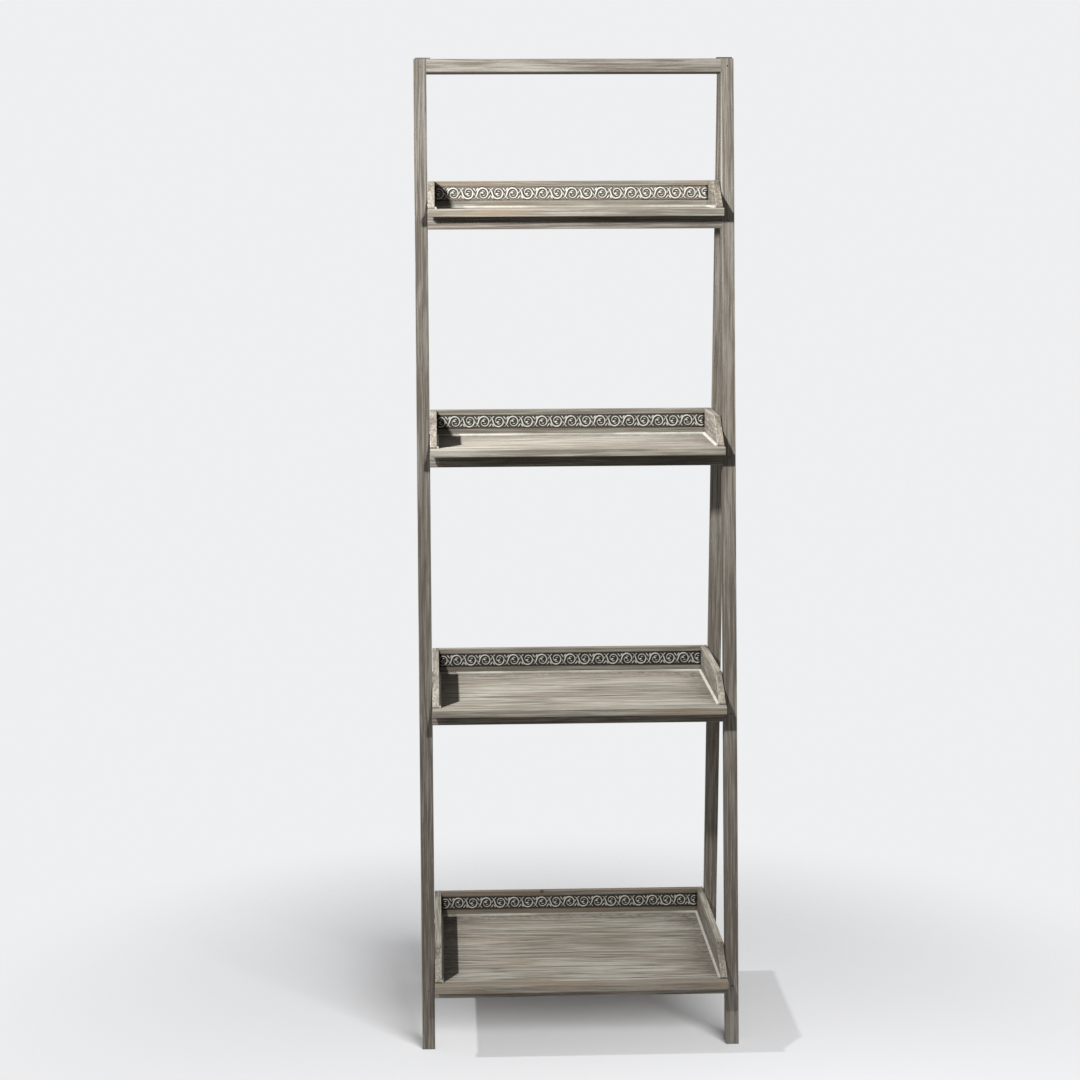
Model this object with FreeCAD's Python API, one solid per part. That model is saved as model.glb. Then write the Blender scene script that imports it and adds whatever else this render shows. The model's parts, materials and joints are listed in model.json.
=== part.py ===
import FreeCAD
import Part
import math
import os

# Folding shelf stand: two leaning ladder frames hinged together at the top,
# with four trays that pivot on the rear legs and rest on the front rungs.
# Millimetres, +Z up, front towards -Y, floor at Z = 0.

# Frame
FRAME_WIDTH = 450.0
FRAME_HEIGHT = 1389.0
LEAN_DEGREES = 5.74
STILE_WIDTH = 18.0
STILE_DEPTH = 24.0
FOLDED_GAP = 1.0
RAIL_HEIGHT = 18.5
FRONT_RUNG_HEIGHT = 22.0
REAR_RUNG_HEIGHT = 18.0
REAR_RUNG_DROP = 8.0
EDGE_EASE = 0.7

# Mortise and tenon joints
TENON_LENGTH = 12.0
TENON_THICKNESS = 8.0
TENON_SHOULDER = 4.0
MORTISE_CLEARANCE = 0.1
MORTISE_END_GAP = 0.8

# Trays, tray 1 on top: the lower edge of each front strip is set out from the
# top of the frame for the two upper trays, and from the floor for the others
TRAY_1_DROP = 219.0
TRAY_2_DROP = 551.0
TRAY_3_HEIGHT = 476.0
TRAY_4_HEIGHT = 90.0
TRAY_SIDE_GAP = 0.8
TRAY_PROJECTION = 38.0
TRAY_BACK_REACH = 12.0
TRAY_REST_GAP = 0.2
STRIP_DEPTH = 15.5
STRIP_NOSE_RADIUS = 1.5
STRIP_REAR_ARRIS = 0.7
FLOOR_THICKNESS = 6.8
BATTEN_DEPTH = 10.0
BATTEN_HEIGHT = 4.0
BATTEN_END_GAP = 12.0
BATTEN_RUNG_GAP = 0.3
TONGUE_LENGTH = 4.0
TONGUE_THICKNESS = 2.6
SIDE_THICKNESS = 9.5
BACK_THICKNESS = 9.0
WALL_HEIGHT = 38.0
SIDE_TOE_HEIGHT = 2.0
SIDE_SLOPE_RUN = 46.0
HOUSING_DEPTH = 3.0
WALL_EASE = 0.6

# Bead in the corner of the tray floor, and the frieze strip let into the back
BEAD_RADIUS = 3.0
FRIEZE_RISE = 10.0
FRIEZE_HEIGHT = 21.0
FRIEZE_THICKNESS = 3.5
FRIEZE_REBATE = 2.0
FRIEZE_CHAMFER = 1.0
FRIEZE_END_GAP = 0.2

# Tray pivots: countersunk pins through the rear legs
PIVOT_HEIGHT = 10.0
PIVOT_DIAMETER = 5.0
PIVOT_HEAD_DIAMETER = 9.0
PIVOT_HEAD_HEIGHT = 2.6
PIVOT_CLEARANCE = 0.1
PIVOT_IN_SIDE = 7.5

# Butt hinges on the top ends of the stiles
LEAF_LENGTH = 22.0
LEAF_THICKNESS = 1.8
LEAF_END_INSET = 2.0
LEAF_FACE_INSET = 1.0
KNUCKLE_DIAMETER = 4.8
KNUCKLE_GAP = 0.2
KNUCKLE_RELIEF = 0.4
HINGE_PIN_DIAMETER = 2.4
HINGE_PIN_CLEARANCE = 0.08

# Derived places
FRONT = -1
REAR = 1
LEAN = math.radians(LEAN_DEGREES)
TRAY_1_HEIGHT = FRAME_HEIGHT - TRAY_1_DROP
TRAY_2_HEIGHT = FRAME_HEIGHT - TRAY_2_DROP
TRAY_HEIGHTS = (TRAY_1_HEIGHT, TRAY_2_HEIGHT, TRAY_3_HEIGHT, TRAY_4_HEIGHT)
HALF_WIDTH = FRAME_WIDTH / 2
INNER_HALF = HALF_WIDTH - STILE_WIDTH
TRAY_HALF = INNER_HALF - TRAY_SIDE_GAP
TRAY_INNER_HALF = TRAY_HALF - SIDE_THICKNESS
FRAME_TOP = -LEAF_THICKNESS / 2
HINGE_Z = (FRAME_HEIGHT - (FOLDED_GAP / 2 + STILE_DEPTH) * math.sin(LEAN)
           - FRAME_TOP * math.cos(LEAN))


def frame_reach(depth, height):
    """How far a plane inside a frame, depth from its inner face, lies from the hinge."""
    return (FOLDED_GAP / 2 + depth) / math.cos(LEAN) + (HINGE_Z - height) * math.tan(LEAN)


# The origin lies under the middle of the overall depth, which runs from the
# lowest tray's front strip to the rear feet.
FRONT_REACH = frame_reach(STILE_DEPTH, TRAY_4_HEIGHT) + TRAY_PROJECTION
REAR_REACH = frame_reach(STILE_DEPTH, 0.0)
HINGE_Y = (FRONT_REACH - REAR_REACH) / 2


def frame_face(frame, depth, height):
    """Y of a plane inside a frame, depth from its inner face, at a height."""
    return HINGE_Y + frame * frame_reach(depth, height)


def vector(x, y, z):
    return FreeCAD.Vector(x, y, z)


def box(x0, x1, y0, y1, z0, z1):
    """Upright block between two corners, given in any order."""
    low = vector(min(x0, x1), min(y0, y1), min(z0, z1))
    return Part.makeBox(abs(x1 - x0), abs(y1 - y0), abs(z1 - z0), low)


def prism_x(outline, x0, x1):
    """A (y, z) outline carried along X."""
    points = [vector(x0, y, z) for y, z in outline]
    face = Part.Face(Part.makePolygon(points + points[:1]))
    return face.extrude(vector(x1 - x0, 0, 0))


def rod_x(radius, x0, x1, y, z):
    return Part.makeCylinder(radius, abs(x1 - x0), vector(min(x0, x1), y, z), vector(1, 0, 0))


def ease_long_edges(solid, direction, width):
    """Take the sharp edges off that run along one direction."""
    edges = []
    for edge in solid.Edges:
        run = edge.Vertexes[-1].Point - edge.Vertexes[0].Point
        if run.Length > 0 and abs(run.normalize().dot(direction)) > 0.999:
            edges.append(edge)
    return solid.makeChamfer(width, edges)


def mirrored(shape):
    """The same piece on the other side of the stand."""
    return shape.mirror(vector(0, 0, 0), vector(1, 0, 0))


def leaned(shape, frame):
    """Turn a piece drawn upright at the hinge axis to its frame's lean."""
    placed = shape.translated(vector(0, HINGE_Y, HINGE_Z))
    return placed.rotated(vector(0, HINGE_Y, HINGE_Z), vector(1, 0, 0), frame * LEAN_DEGREES)


def save(name, solids):
    """Write one node, made of one solid or of a group of separate solids."""
    shape = solids[0] if len(solids) == 1 else Part.makeCompound(solids)
    shape.exportStep(os.path.join("parts", name + ".step"))


class Tray:
    """Heights and depths of one tray, all taken from its strip's lower edge."""

    def __init__(self, number, height):
        self.number = number
        self.strip_bottom = height
        self.seat = height + BATTEN_HEIGHT
        self.underside = self.seat + TRAY_REST_GAP
        self.floor_top = self.underside + FLOOR_THICKNESS
        self.wall_top = self.floor_top + WALL_HEIGHT
        self.front = frame_face(FRONT, STILE_DEPTH, height) - TRAY_PROJECTION
        self.strip_back = self.front + STRIP_DEPTH
        self.pivot_z = self.underside + PIVOT_HEIGHT
        self.pivot_y = frame_face(REAR, STILE_DEPTH / 2, self.pivot_z)
        self.back = self.pivot_y + TRAY_BACK_REACH
        self.back_face = self.back - BACK_THICKNESS


TRAYS = [Tray(number, height) for number, height in enumerate(TRAY_HEIGHTS, start=1)]


# Wooden frames

def rung_outline(frame, z0, z1, inner, outer):
    """Section between two depths of a leaning frame, level above and below."""
    return [(frame_face(frame, inner, z0), z0), (frame_face(frame, outer, z0), z0),
            (frame_face(frame, outer, z1), z1), (frame_face(frame, inner, z1), z1)]


def tenon_depths(clearance):
    middle = STILE_DEPTH / 2
    half = TENON_THICKNESS / 2 + clearance
    return middle - half, middle + half


def rung(frame, z0, z1):
    """Cross rung flush with its frame's faces, with a tenon on each end."""
    body = prism_x(rung_outline(frame, z0, z1, 0.0, STILE_DEPTH), -INNER_HALF, INNER_HALF)
    body = ease_long_edges(body, vector(1, 0, 0), EDGE_EASE)
    reach = INNER_HALF + TENON_LENGTH
    inner, outer = tenon_depths(0.0)
    outline = rung_outline(frame, z0 + TENON_SHOULDER, z1 - TENON_SHOULDER, inner, outer)
    return body.fuse(prism_x(outline, -reach, reach)).removeSplitter()


def rung_mortise(frame, z0, z1):
    """Right-hand pocket for a rung's tenon."""
    inner, outer = tenon_depths(MORTISE_CLEARANCE)
    low = z0 + TENON_SHOULDER - MORTISE_CLEARANCE
    high = z1 - TENON_SHOULDER + MORTISE_CLEARANCE
    reach = INNER_HALF + TENON_LENGTH + MORTISE_END_GAP
    return prism_x(rung_outline(frame, low, high, inner, outer), INNER_HALF, reach)


def rail_block(frame, clearance, x0, x1, shoulder):
    """Block of the top rail, drawn upright below the hinge axis."""
    half = STILE_DEPTH / 2 if shoulder == 0 else TENON_THICKNESS / 2 + clearance
    middle = frame * (FOLDED_GAP / 2 + STILE_DEPTH / 2)
    low = FRAME_TOP - RAIL_HEIGHT + shoulder - clearance
    high = FRAME_TOP - shoulder + clearance
    return box(x0, x1, middle - half, middle + half, low, high)


def top_rail(frame):
    """Rail between the top ends of a frame, flush with them, hollowed for the hinges."""
    body = rail_block(frame, 0.0, -INNER_HALF, INNER_HALF, 0.0)
    body = ease_long_edges(body, vector(1, 0, 0), EDGE_EASE)
    reach = INNER_HALF + TENON_LENGTH
    tenons = rail_block(frame, 0.0, -reach, reach, TENON_SHOULDER)
    rail = leaned(body.fuse(tenons).removeSplitter(), frame)
    relief = knuckle_relief(frame)
    return rail.cut([relief, mirrored(relief)])


def rung_levels(frame):
    """Lower and upper face of each rung of a frame."""
    if frame == FRONT:
        return [(tray.seat - FRONT_RUNG_HEIGHT, tray.seat) for tray in TRAYS]
    tops = [tray.seat - REAR_RUNG_DROP for tray in TRAYS[1:]]
    return [(top - REAR_RUNG_HEIGHT, top) for top in tops]


def knuckle_relief(frame):
    """Hollow in the wood under the right-hand hinge barrel."""
    x0, x1 = hinge_span()
    radius = KNUCKLE_DIAMETER / 2 + KNUCKLE_RELIEF
    return leaned(rod_x(radius, x0 - KNUCKLE_RELIEF, x1 + KNUCKLE_RELIEF, 0, 0), frame)


def stile(frame):
    """Right-hand upright of a frame, with its joints cut and its foot level."""
    length = (HINGE_Z + STILE_DEPTH) / math.cos(LEAN)
    inner = frame * FOLDED_GAP / 2
    outer = frame * (FOLDED_GAP / 2 + STILE_DEPTH)
    bar = box(INNER_HALF, HALF_WIDTH, inner, outer, FRAME_TOP - length, FRAME_TOP)
    bar = leaned(ease_long_edges(bar, vector(0, 0, 1), EDGE_EASE), frame)
    below_floor = box(0, FRAME_WIDTH, -FRAME_HEIGHT, FRAME_HEIGHT, 0, -FRAME_HEIGHT)
    cuts = [below_floor, knuckle_relief(frame)]
    reach = INNER_HALF + TENON_LENGTH + MORTISE_END_GAP
    cuts.append(leaned(rail_block(frame, MORTISE_CLEARANCE, INNER_HALF, reach, TENON_SHOULDER), frame))
    cuts += [rung_mortise(frame, z0, z1) for z0, z1 in rung_levels(frame)]
    if frame == REAR:
        cuts += [pivot_pin(tray, PIVOT_CLEARANCE) for tray in TRAYS]
    return bar.cut(cuts)


# Hinges, drawn flat on the hinge axis and then leaned with their frames

def hinge_span():
    """X of the two ends of the right-hand hinge."""
    outer = HALF_WIDTH - LEAF_END_INSET
    return outer - LEAF_LENGTH, outer


def knuckle_spans(frame):
    """The front leaf has the two end knuckles, the rear leaf the middle one."""
    x0, x1 = hinge_span()
    pitch = (x1 - x0 + KNUCKLE_GAP) / 3
    starts = [x0, x0 + 2 * pitch] if frame == FRONT else [x0 + pitch]
    return [(start, start + pitch - KNUCKLE_GAP) for start in starts]


def hinge_leaf(frame):
    """Right-hand leaf with its knuckles, bored for the pin."""
    x0, x1 = hinge_span()
    edge = frame * (FOLDED_GAP / 2 + STILE_DEPTH - LEAF_FACE_INSET)
    leaf = box(x0, x1, 0, edge, -LEAF_THICKNESS / 2, LEAF_THICKNESS / 2)
    barrel = KNUCKLE_DIAMETER / 2
    for start, end in knuckle_spans(-frame):
        clear = barrel + KNUCKLE_RELIEF
        leaf = leaf.cut(rod_x(clear, start - KNUCKLE_GAP, end + KNUCKLE_GAP, 0, 0))
    leaf = leaf.fuse([rod_x(barrel, start, end, 0, 0) for start, end in knuckle_spans(frame)])
    bore = rod_x(HINGE_PIN_DIAMETER / 2 + HINGE_PIN_CLEARANCE, x0, x1, 0, 0)
    return leaned(leaf.cut(bore).removeSplitter(), frame)


def hinge_pin():
    x0, x1 = hinge_span()
    return rod_x(HINGE_PIN_DIAMETER / 2, x0, x1, HINGE_Y, HINGE_Z)


# Trays

def front_strip(tray):
    """Front strip over the full tray width, grooved for the floor's tongue."""
    outline = [(tray.front, tray.strip_bottom), (tray.strip_back, tray.strip_bottom),
               (tray.strip_back, tray.floor_top - STRIP_REAR_ARRIS),
               (tray.strip_back - STRIP_REAR_ARRIS, tray.floor_top), (tray.front, tray.floor_top)]
    strip = prism_x(outline, -TRAY_HALF, TRAY_HALF)
    long_edges = [edge for edge in strip.Edges if edge.Length > TRAY_HALF]
    noses = [edge for edge in long_edges if edge.CenterOfMass.y < tray.front + STRIP_DEPTH / 2]
    return strip.makeFillet(STRIP_NOSE_RADIUS, noses).cut(floor_tongue(tray))


def floor_tongue(tray):
    middle = (tray.underside + tray.floor_top) / 2
    return box(-TRAY_INNER_HALF, TRAY_INNER_HALF, tray.strip_back - TONGUE_LENGTH, tray.strip_back,
               middle - TONGUE_THICKNESS / 2, middle + TONGUE_THICKNESS / 2)


def tray_floor(tray):
    """Floor panel, housed in both sides and the back, tongued into the strip."""
    reach = TRAY_INNER_HALF + HOUSING_DEPTH
    back = tray.back_face + HOUSING_DEPTH
    panel = box(-reach, reach, tray.strip_back, back, tray.underside, tray.floor_top)
    return panel.fuse(floor_tongue(tray)).removeSplitter()


def tray_side(tray):
    """Right-hand side, level at the back and sloping down to the front strip."""
    toe = tray.floor_top + SIDE_TOE_HEIGHT
    outline = [(tray.strip_back, tray.underside), (tray.back, tray.underside), (tray.back, tray.wall_top),
               (tray.strip_back + SIDE_SLOPE_RUN, tray.wall_top), (tray.strip_back, toe)]
    board = prism_x(outline, TRAY_INNER_HALF, TRAY_HALF)
    upper = [edge for edge in board.Edges if runs_along_wall_top(edge, tray)]
    board = board.makeChamfer(WALL_EASE, upper)
    return board.cut([tray_floor(tray), pivot_pin(tray, 0.0)])


def runs_along_wall_top(edge, tray):
    """True for a side's two upper edges, level and sloping."""
    first = edge.Vertexes[0].Point
    last = edge.Vertexes[-1].Point
    in_board_face = abs(first.x - last.x) < WALL_EASE
    return in_board_face and min(first.z, last.z) > tray.floor_top and abs(first.y - last.y) > WALL_EASE


def back_board(tray):
    """Back between the sides, rebated for the frieze and housing the floor."""
    board = box(-TRAY_INNER_HALF, TRAY_INNER_HALF, tray.back_face, tray.back, tray.underside, tray.wall_top)
    long_edges = [edge for edge in board.Edges if edge.Length > TRAY_INNER_HALF]
    upper = [edge for edge in long_edges if edge.CenterOfMass.z > tray.floor_top]
    board = board.makeChamfer(WALL_EASE, upper)
    low = tray.floor_top + FRIEZE_RISE
    rebate = box(-TRAY_INNER_HALF, TRAY_INNER_HALF, tray.back_face, tray.back_face + FRIEZE_REBATE,
                 low, low + FRIEZE_HEIGHT)
    return board.cut([tray_floor(tray), rebate])


def frieze_strip(tray):
    """Moulded strip for the carved band, glued into the back's rebate."""
    seat = tray.back_face + FRIEZE_REBATE
    face = seat - FRIEZE_THICKNESS
    low = tray.floor_top + FRIEZE_RISE
    high = low + FRIEZE_HEIGHT
    outline = [(seat, low), (face + FRIEZE_CHAMFER, low), (face, low + FRIEZE_CHAMFER),
               (face, high - FRIEZE_CHAMFER), (face + FRIEZE_CHAMFER, high), (seat, high)]
    half = TRAY_INNER_HALF - FRIEZE_END_GAP
    return prism_x(outline, -half, half)


def bead_section(corner, across, up):
    """Quarter-round face with its square corner at a point."""
    foot = corner + across * BEAD_RADIUS
    head = corner + up * BEAD_RADIUS
    crown = corner + (across + up) * (BEAD_RADIUS * math.sqrt(0.5))
    curve = Part.Arc(foot, crown, head).toShape()
    return Part.Face(Part.Wire([Part.makeLine(corner, foot), curve, Part.makeLine(head, corner)]))


def corner_beads(tray):
    """Quarter-round beads along the back and both sides of the floor."""
    up = vector(0, 0, 1)
    start = vector(-TRAY_INNER_HALF, tray.back_face, tray.floor_top)
    back = bead_section(start, vector(0, -1, 0), up).extrude(vector(2 * TRAY_INNER_HALF, 0, 0))
    start = vector(TRAY_INNER_HALF, tray.strip_back, tray.floor_top)
    side = bead_section(start, vector(-1, 0, 0), up).extrude(vector(0, tray.back_face - tray.strip_back, 0))
    toe = box(0, TRAY_HALF, tray.strip_back, tray.back, tray.floor_top + SIDE_TOE_HEIGHT, tray.wall_top)
    slope = prism_x([(tray.strip_back, tray.floor_top + SIDE_TOE_HEIGHT), (tray.strip_back, tray.wall_top),
                     (tray.strip_back + SIDE_SLOPE_RUN, tray.wall_top)], 0, TRAY_HALF)
    side = side.cut([back, toe.common(slope)])
    return [back, side, mirrored(side)]


def stop_batten(tray):
    """Batten under the floor that catches the front rung and stops the spread."""
    half = TRAY_INNER_HALF - BATTEN_END_GAP
    back = frame_face(FRONT, STILE_DEPTH, tray.strip_bottom) - BATTEN_RUNG_GAP
    return box(-half, half, back - BATTEN_DEPTH, back, tray.strip_bottom + TRAY_REST_GAP, tray.underside)


def pivot_pin(tray, clearance):
    """Right-hand pivot pin, its head flush with the leg's outer side."""
    shank = PIVOT_DIAMETER / 2 + clearance
    head = PIVOT_HEAD_DIAMETER / 2 + clearance
    end = TRAY_HALF - PIVOT_IN_SIDE - clearance
    neck = HALF_WIDTH - PIVOT_HEAD_HEIGHT
    section = [vector(HALF_WIDTH, 0, 0), vector(HALF_WIDTH, head, 0), vector(neck, shank, 0),
               vector(end, shank, 0), vector(end, 0, 0)]
    face = Part.Face(Part.makePolygon(section + section[:1]))
    pin = face.revolve(vector(0, 0, 0), vector(1, 0, 0), 360)
    return pin.translated(vector(0, tray.pivot_y, tray.pivot_z))


# Nodes

def save_pair(name, right):
    """Write a right-hand piece and its mirror image as two nodes."""
    save(name.format(side="right"), [right])
    save(name.format(side="left"), [mirrored(right)])


def save_both(name, right_solids):
    """Write right-hand pieces and their mirror images as one group."""
    save(name, right_solids + [mirrored(solid) for solid in right_solids])


def save_frame(frame, prefix, upright):
    save_pair(prefix + "_{side}_" + upright, stile(frame))
    save(prefix + "_top_rail", [top_rail(frame)])
    first = 1 if frame == FRONT else 2
    for number, (z0, z1) in enumerate(rung_levels(frame), start=first):
        save("{}_rung_{}".format(prefix, number), [rung(frame, z0, z1)])


def save_hinges():
    save_pair("{side}_hinge_front_leaf", hinge_leaf(FRONT))
    save_pair("{side}_hinge_rear_leaf", hinge_leaf(REAR))
    save_pair("{side}_hinge_pin", hinge_pin())


def save_tray(tray):
    prefix = "tray_{}_".format(tray.number)
    save(prefix + "floor", [tray_floor(tray)])
    save(prefix + "front_strip", [front_strip(tray)])
    save_pair(prefix + "{side}_side", tray_side(tray))
    save(prefix + "back_board", [back_board(tray)])
    save(prefix + "frieze_strip", [frieze_strip(tray)])
    save(prefix + "corner_beads", corner_beads(tray))
    save(prefix + "stop_batten", [stop_batten(tray)])
    save_both(prefix + "pivots", [pivot_pin(tray, 0.0)])


os.makedirs("parts", exist_ok=True)
save_frame(FRONT, "front", "stile")
save_frame(REAR, "rear", "leg")
save_hinges()
for tray in TRAYS:
    save_tray(tray)
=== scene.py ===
import json
import math

import bpy
import numpy as np
from bpy.props import FloatProperty, FloatVectorProperty, PointerProperty
from bpy.types import Operator, Panel, PropertyGroup
from mathutils import Matrix, Vector


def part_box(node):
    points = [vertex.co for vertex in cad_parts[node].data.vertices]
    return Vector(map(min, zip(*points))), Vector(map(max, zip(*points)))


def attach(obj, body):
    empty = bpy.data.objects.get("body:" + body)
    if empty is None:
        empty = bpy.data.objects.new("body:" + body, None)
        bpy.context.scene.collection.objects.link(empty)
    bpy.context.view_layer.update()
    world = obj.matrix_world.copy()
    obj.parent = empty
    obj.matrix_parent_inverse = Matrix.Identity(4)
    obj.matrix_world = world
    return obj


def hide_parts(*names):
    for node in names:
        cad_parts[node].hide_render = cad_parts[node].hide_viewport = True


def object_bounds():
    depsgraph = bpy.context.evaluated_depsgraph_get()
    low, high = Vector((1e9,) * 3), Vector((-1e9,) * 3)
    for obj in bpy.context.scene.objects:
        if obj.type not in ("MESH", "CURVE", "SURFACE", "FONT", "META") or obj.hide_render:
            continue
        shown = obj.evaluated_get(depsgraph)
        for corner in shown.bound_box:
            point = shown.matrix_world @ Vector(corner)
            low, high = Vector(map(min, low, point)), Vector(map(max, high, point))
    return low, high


# A folding shelf stand in washed wood: two hinged ladder frames, four trays
# with a carved scroll frieze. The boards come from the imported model; this
# file carves the friezes, adds the small fasteners and gives every piece its finish.

bl_info = {
    "name": "Folding shelf stand",
    "version": (1, 0, 0),
    "blender": (4, 5, 0),
    "location": "3D View > Sidebar > Stand",
    "description": "Carves, fits and finishes a folding shelf stand with four trays",
    "category": "Object",
}

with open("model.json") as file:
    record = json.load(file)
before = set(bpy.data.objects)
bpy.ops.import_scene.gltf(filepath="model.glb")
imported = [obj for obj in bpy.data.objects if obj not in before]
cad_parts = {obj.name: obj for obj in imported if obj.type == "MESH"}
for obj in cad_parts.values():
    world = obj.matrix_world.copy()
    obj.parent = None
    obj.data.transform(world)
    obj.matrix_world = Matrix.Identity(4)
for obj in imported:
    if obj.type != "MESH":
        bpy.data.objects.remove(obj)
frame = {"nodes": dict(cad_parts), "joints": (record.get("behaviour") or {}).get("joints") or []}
CAD_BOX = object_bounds()

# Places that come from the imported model
FOLD = next(joint for joint in frame["joints"] if joint["name"] == "frame_fold")
HINGE_AXIS = Vector(FOLD["pos_m"])
LEAN = math.radians(FOLD["range_deg"][1]) / 2

# Trays from the top down, and the signs of frames and sides
TRAY_NUMBERS = (1, 2, 3, 4)
FRONT = -1
REAR = 1
BOTH_FRAMES = ((FRONT, "front"), (REAR, "rear"))
LEFT_AND_RIGHT = (-1, 1)


class FriezeSettings(PropertyGroup):
    """Sizes and tones of the carved scroll band."""

    scroll_pitch: FloatProperty(
        name="Scroll pitch", description="From one scroll to the next", default=0.0213, unit="LENGTH")
    scroll_radius: FloatProperty(
        name="Scroll radius", description="Middle of the stem in the widest turn", default=0.0076,
        unit="LENGTH")
    eye_radius: FloatProperty(
        name="Eye radius", description="Where the stem ends inside its scroll", default=0.0026,
        unit="LENGTH")
    stem_radius: FloatProperty(
        name="Stem radius", description="Half the width of a full stem", default=0.0016, unit="LENGTH")
    ground_depth: FloatProperty(
        name="Ground depth", description="How far the ground is cut below the strip's face",
        default=0.0015, unit="LENGTH")
    border: FloatProperty(
        name="Border", description="Flat edge above and below the carving", default=0.0009,
        unit="LENGTH")
    chisel: FloatProperty(
        name="Chisel", description="Finest detail that the carving keeps", default=0.00034,
        unit="LENGTH")
    kept_faces: FloatProperty(
        name="Kept faces", description="Share of the carving's faces that is kept", default=0.2,
        subtype="FACTOR")
    # Each tray's tones also paint how much light falls on it: the top tray is painted paler and the lower
    # trays darker, as painted light and shade
    ground_tone_and_shade: FloatVectorProperty(
        name="Ground tone", description="Each tray's carved ground, as a share of the heart's tone",
        default=(1.8, 0.5, 0.22, 0.4), size=4)
    rubbed_tone_and_light: FloatVectorProperty(
        name="Rubbed tone", description="Each tray's rubbed tops, as a share of the wash's tone",
        default=(1.5, 1.2, 1.1, 1.35), size=4)


class FastenerSettings(PropertyGroup):
    """Sizes of nails, screws and washers."""

    nail_diameter: FloatProperty(
        name="Nail diameter", description="Across a nail's head", default=0.0026, unit="LENGTH")
    screw_diameter: FloatProperty(
        name="Screw diameter", description="Across a hinge screw's head", default=0.0052, unit="LENGTH")
    screw_spacing: FloatProperty(
        name="Screw spacing", description="Between the two screws of a hinge leaf", default=0.0086,
        unit="LENGTH")
    screw_reach: FloatProperty(
        name="Screw reach", description="From the hinge's axis to the screws of a leaf", default=0.0125,
        unit="LENGTH")
    leaf_rise: FloatProperty(
        name="Leaf rise", description="From the hinge's axis up to the face of a leaf", default=0.0009,
        unit="LENGTH")
    slot_width: FloatProperty(
        name="Slot width", description="Across the slot of a screw", default=0.0009, unit="LENGTH")
    washer_diameter: FloatProperty(
        name="Washer diameter", description="Across a tray's pivot washer", default=0.012, unit="LENGTH")


class FrameFinish(PropertyGroup):
    """Brown-grey wash of the two ladder frames."""

    heart: FloatVectorProperty(
        name="Heart", description="Dark streaks", default=(0.119, 0.1, 0.08), subtype="COLOR", size=3)
    sap: FloatVectorProperty(
        name="Sap", description="Light streaks", default=(0.206, 0.182, 0.149), subtype="COLOR", size=3)
    tan: FloatVectorProperty(
        name="Tan", description="Warm patches", default=(0.19, 0.146, 0.105), subtype="COLOR", size=3)
    wash: FloatVectorProperty(
        name="Wash", description="Pale wash left on the wood", default=(0.328, 0.314, 0.28),
        subtype="COLOR", size=3)
    pore: FloatVectorProperty(
        name="Pore", description="Open pores and dirt", default=(0.045, 0.034, 0.026),
        subtype="COLOR", size=3)


class TrayFinish(PropertyGroup):
    """Grey lime wash of the trays."""

    heart: FloatVectorProperty(
        name="Heart", description="Dark streaks", default=(0.168, 0.148, 0.12), subtype="COLOR", size=3)
    sap: FloatVectorProperty(
        name="Sap", description="Light streaks", default=(0.294, 0.267, 0.219), subtype="COLOR", size=3)
    tan: FloatVectorProperty(
        name="Tan", description="Warm patches", default=(0.27, 0.205, 0.14), subtype="COLOR", size=3)
    wash: FloatVectorProperty(
        name="Wash", description="Pale wash left on the wood", default=(0.422, 0.416, 0.375),
        subtype="COLOR", size=3)
    pore: FloatVectorProperty(
        name="Pore", description="Open pores and dirt", default=(0.06, 0.046, 0.035),
        subtype="COLOR", size=3)


class MetalFinish(PropertyGroup):
    """Hinges, screws, pins and nails."""

    hinge: FloatVectorProperty(
        name="Hinge", description="Dark bronze of the hinges", default=(0.05, 0.044, 0.038),
        subtype="COLOR", size=3)
    steel: FloatVectorProperty(
        name="Steel", description="Dull steel of pins and nails", default=(0.2, 0.185, 0.165),
        subtype="COLOR", size=3)


class StageSettings(PropertyGroup):
    """Floor, lamps and camera."""

    floor_tone: FloatVectorProperty(
        name="Floor", description="Colour of the floor", default=(0.8, 0.805, 0.82),
        subtype="COLOR", size=3)
    backdrop: FloatVectorProperty(
        name="Backdrop", description="Colour behind the stand", default=(0.86, 0.865, 0.875),
        subtype="COLOR", size=3)
    ambient: FloatProperty(
        name="Ambient", description="Soft light from all round", default=0.24)
    tray_power: FloatVectorProperty(
        name="Tray lamps", description="Key lamp's power on each tray",
        default=(95.0, 120.0, 98.0, 50.0), unit="POWER", size=4)
    board_power: FloatVectorProperty(
        name="Tray floor lamps", description="Key lamp's power on each tray's floor",
        default=(136.0, 202.0, 152.0, 113.0), unit="POWER", size=4)
    key_power: FloatProperty(
        name="Key lamp", description="Lamp high on the left, on the frames", default=110.0, unit="POWER")
    floor_power: FloatProperty(
        name="Floor lamp", description="The key lamp's share on the floor", default=27.0, unit="POWER")
    floor_fill: FloatProperty(
        name="Floor fill", description="Soft light on the floor", default=105.0, unit="POWER")
    fill_power: FloatProperty(
        name="Front lamp", description="Lamp in front, near the top", default=36.0, unit="POWER")
    upright_power: FloatProperty(
        name="Front lamp on uprights", description="Front lamp's power on the left stile and leg",
        default=25.5, unit="POWER")
    side_power: FloatProperty(
        name="Side lamp", description="Soft lamp on the right, on uprights and tray sides", default=45.0,
        unit="POWER")
    lens: FloatProperty(
        name="Lens", description="Focal length in millimetres", default=83.62, unit="CAMERA")
    lens_shift: FloatProperty(
        name="Lens shift", description="How far the lens is shifted up, as a share of the picture",
        default=-0.03)


# Shader expressions

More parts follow.
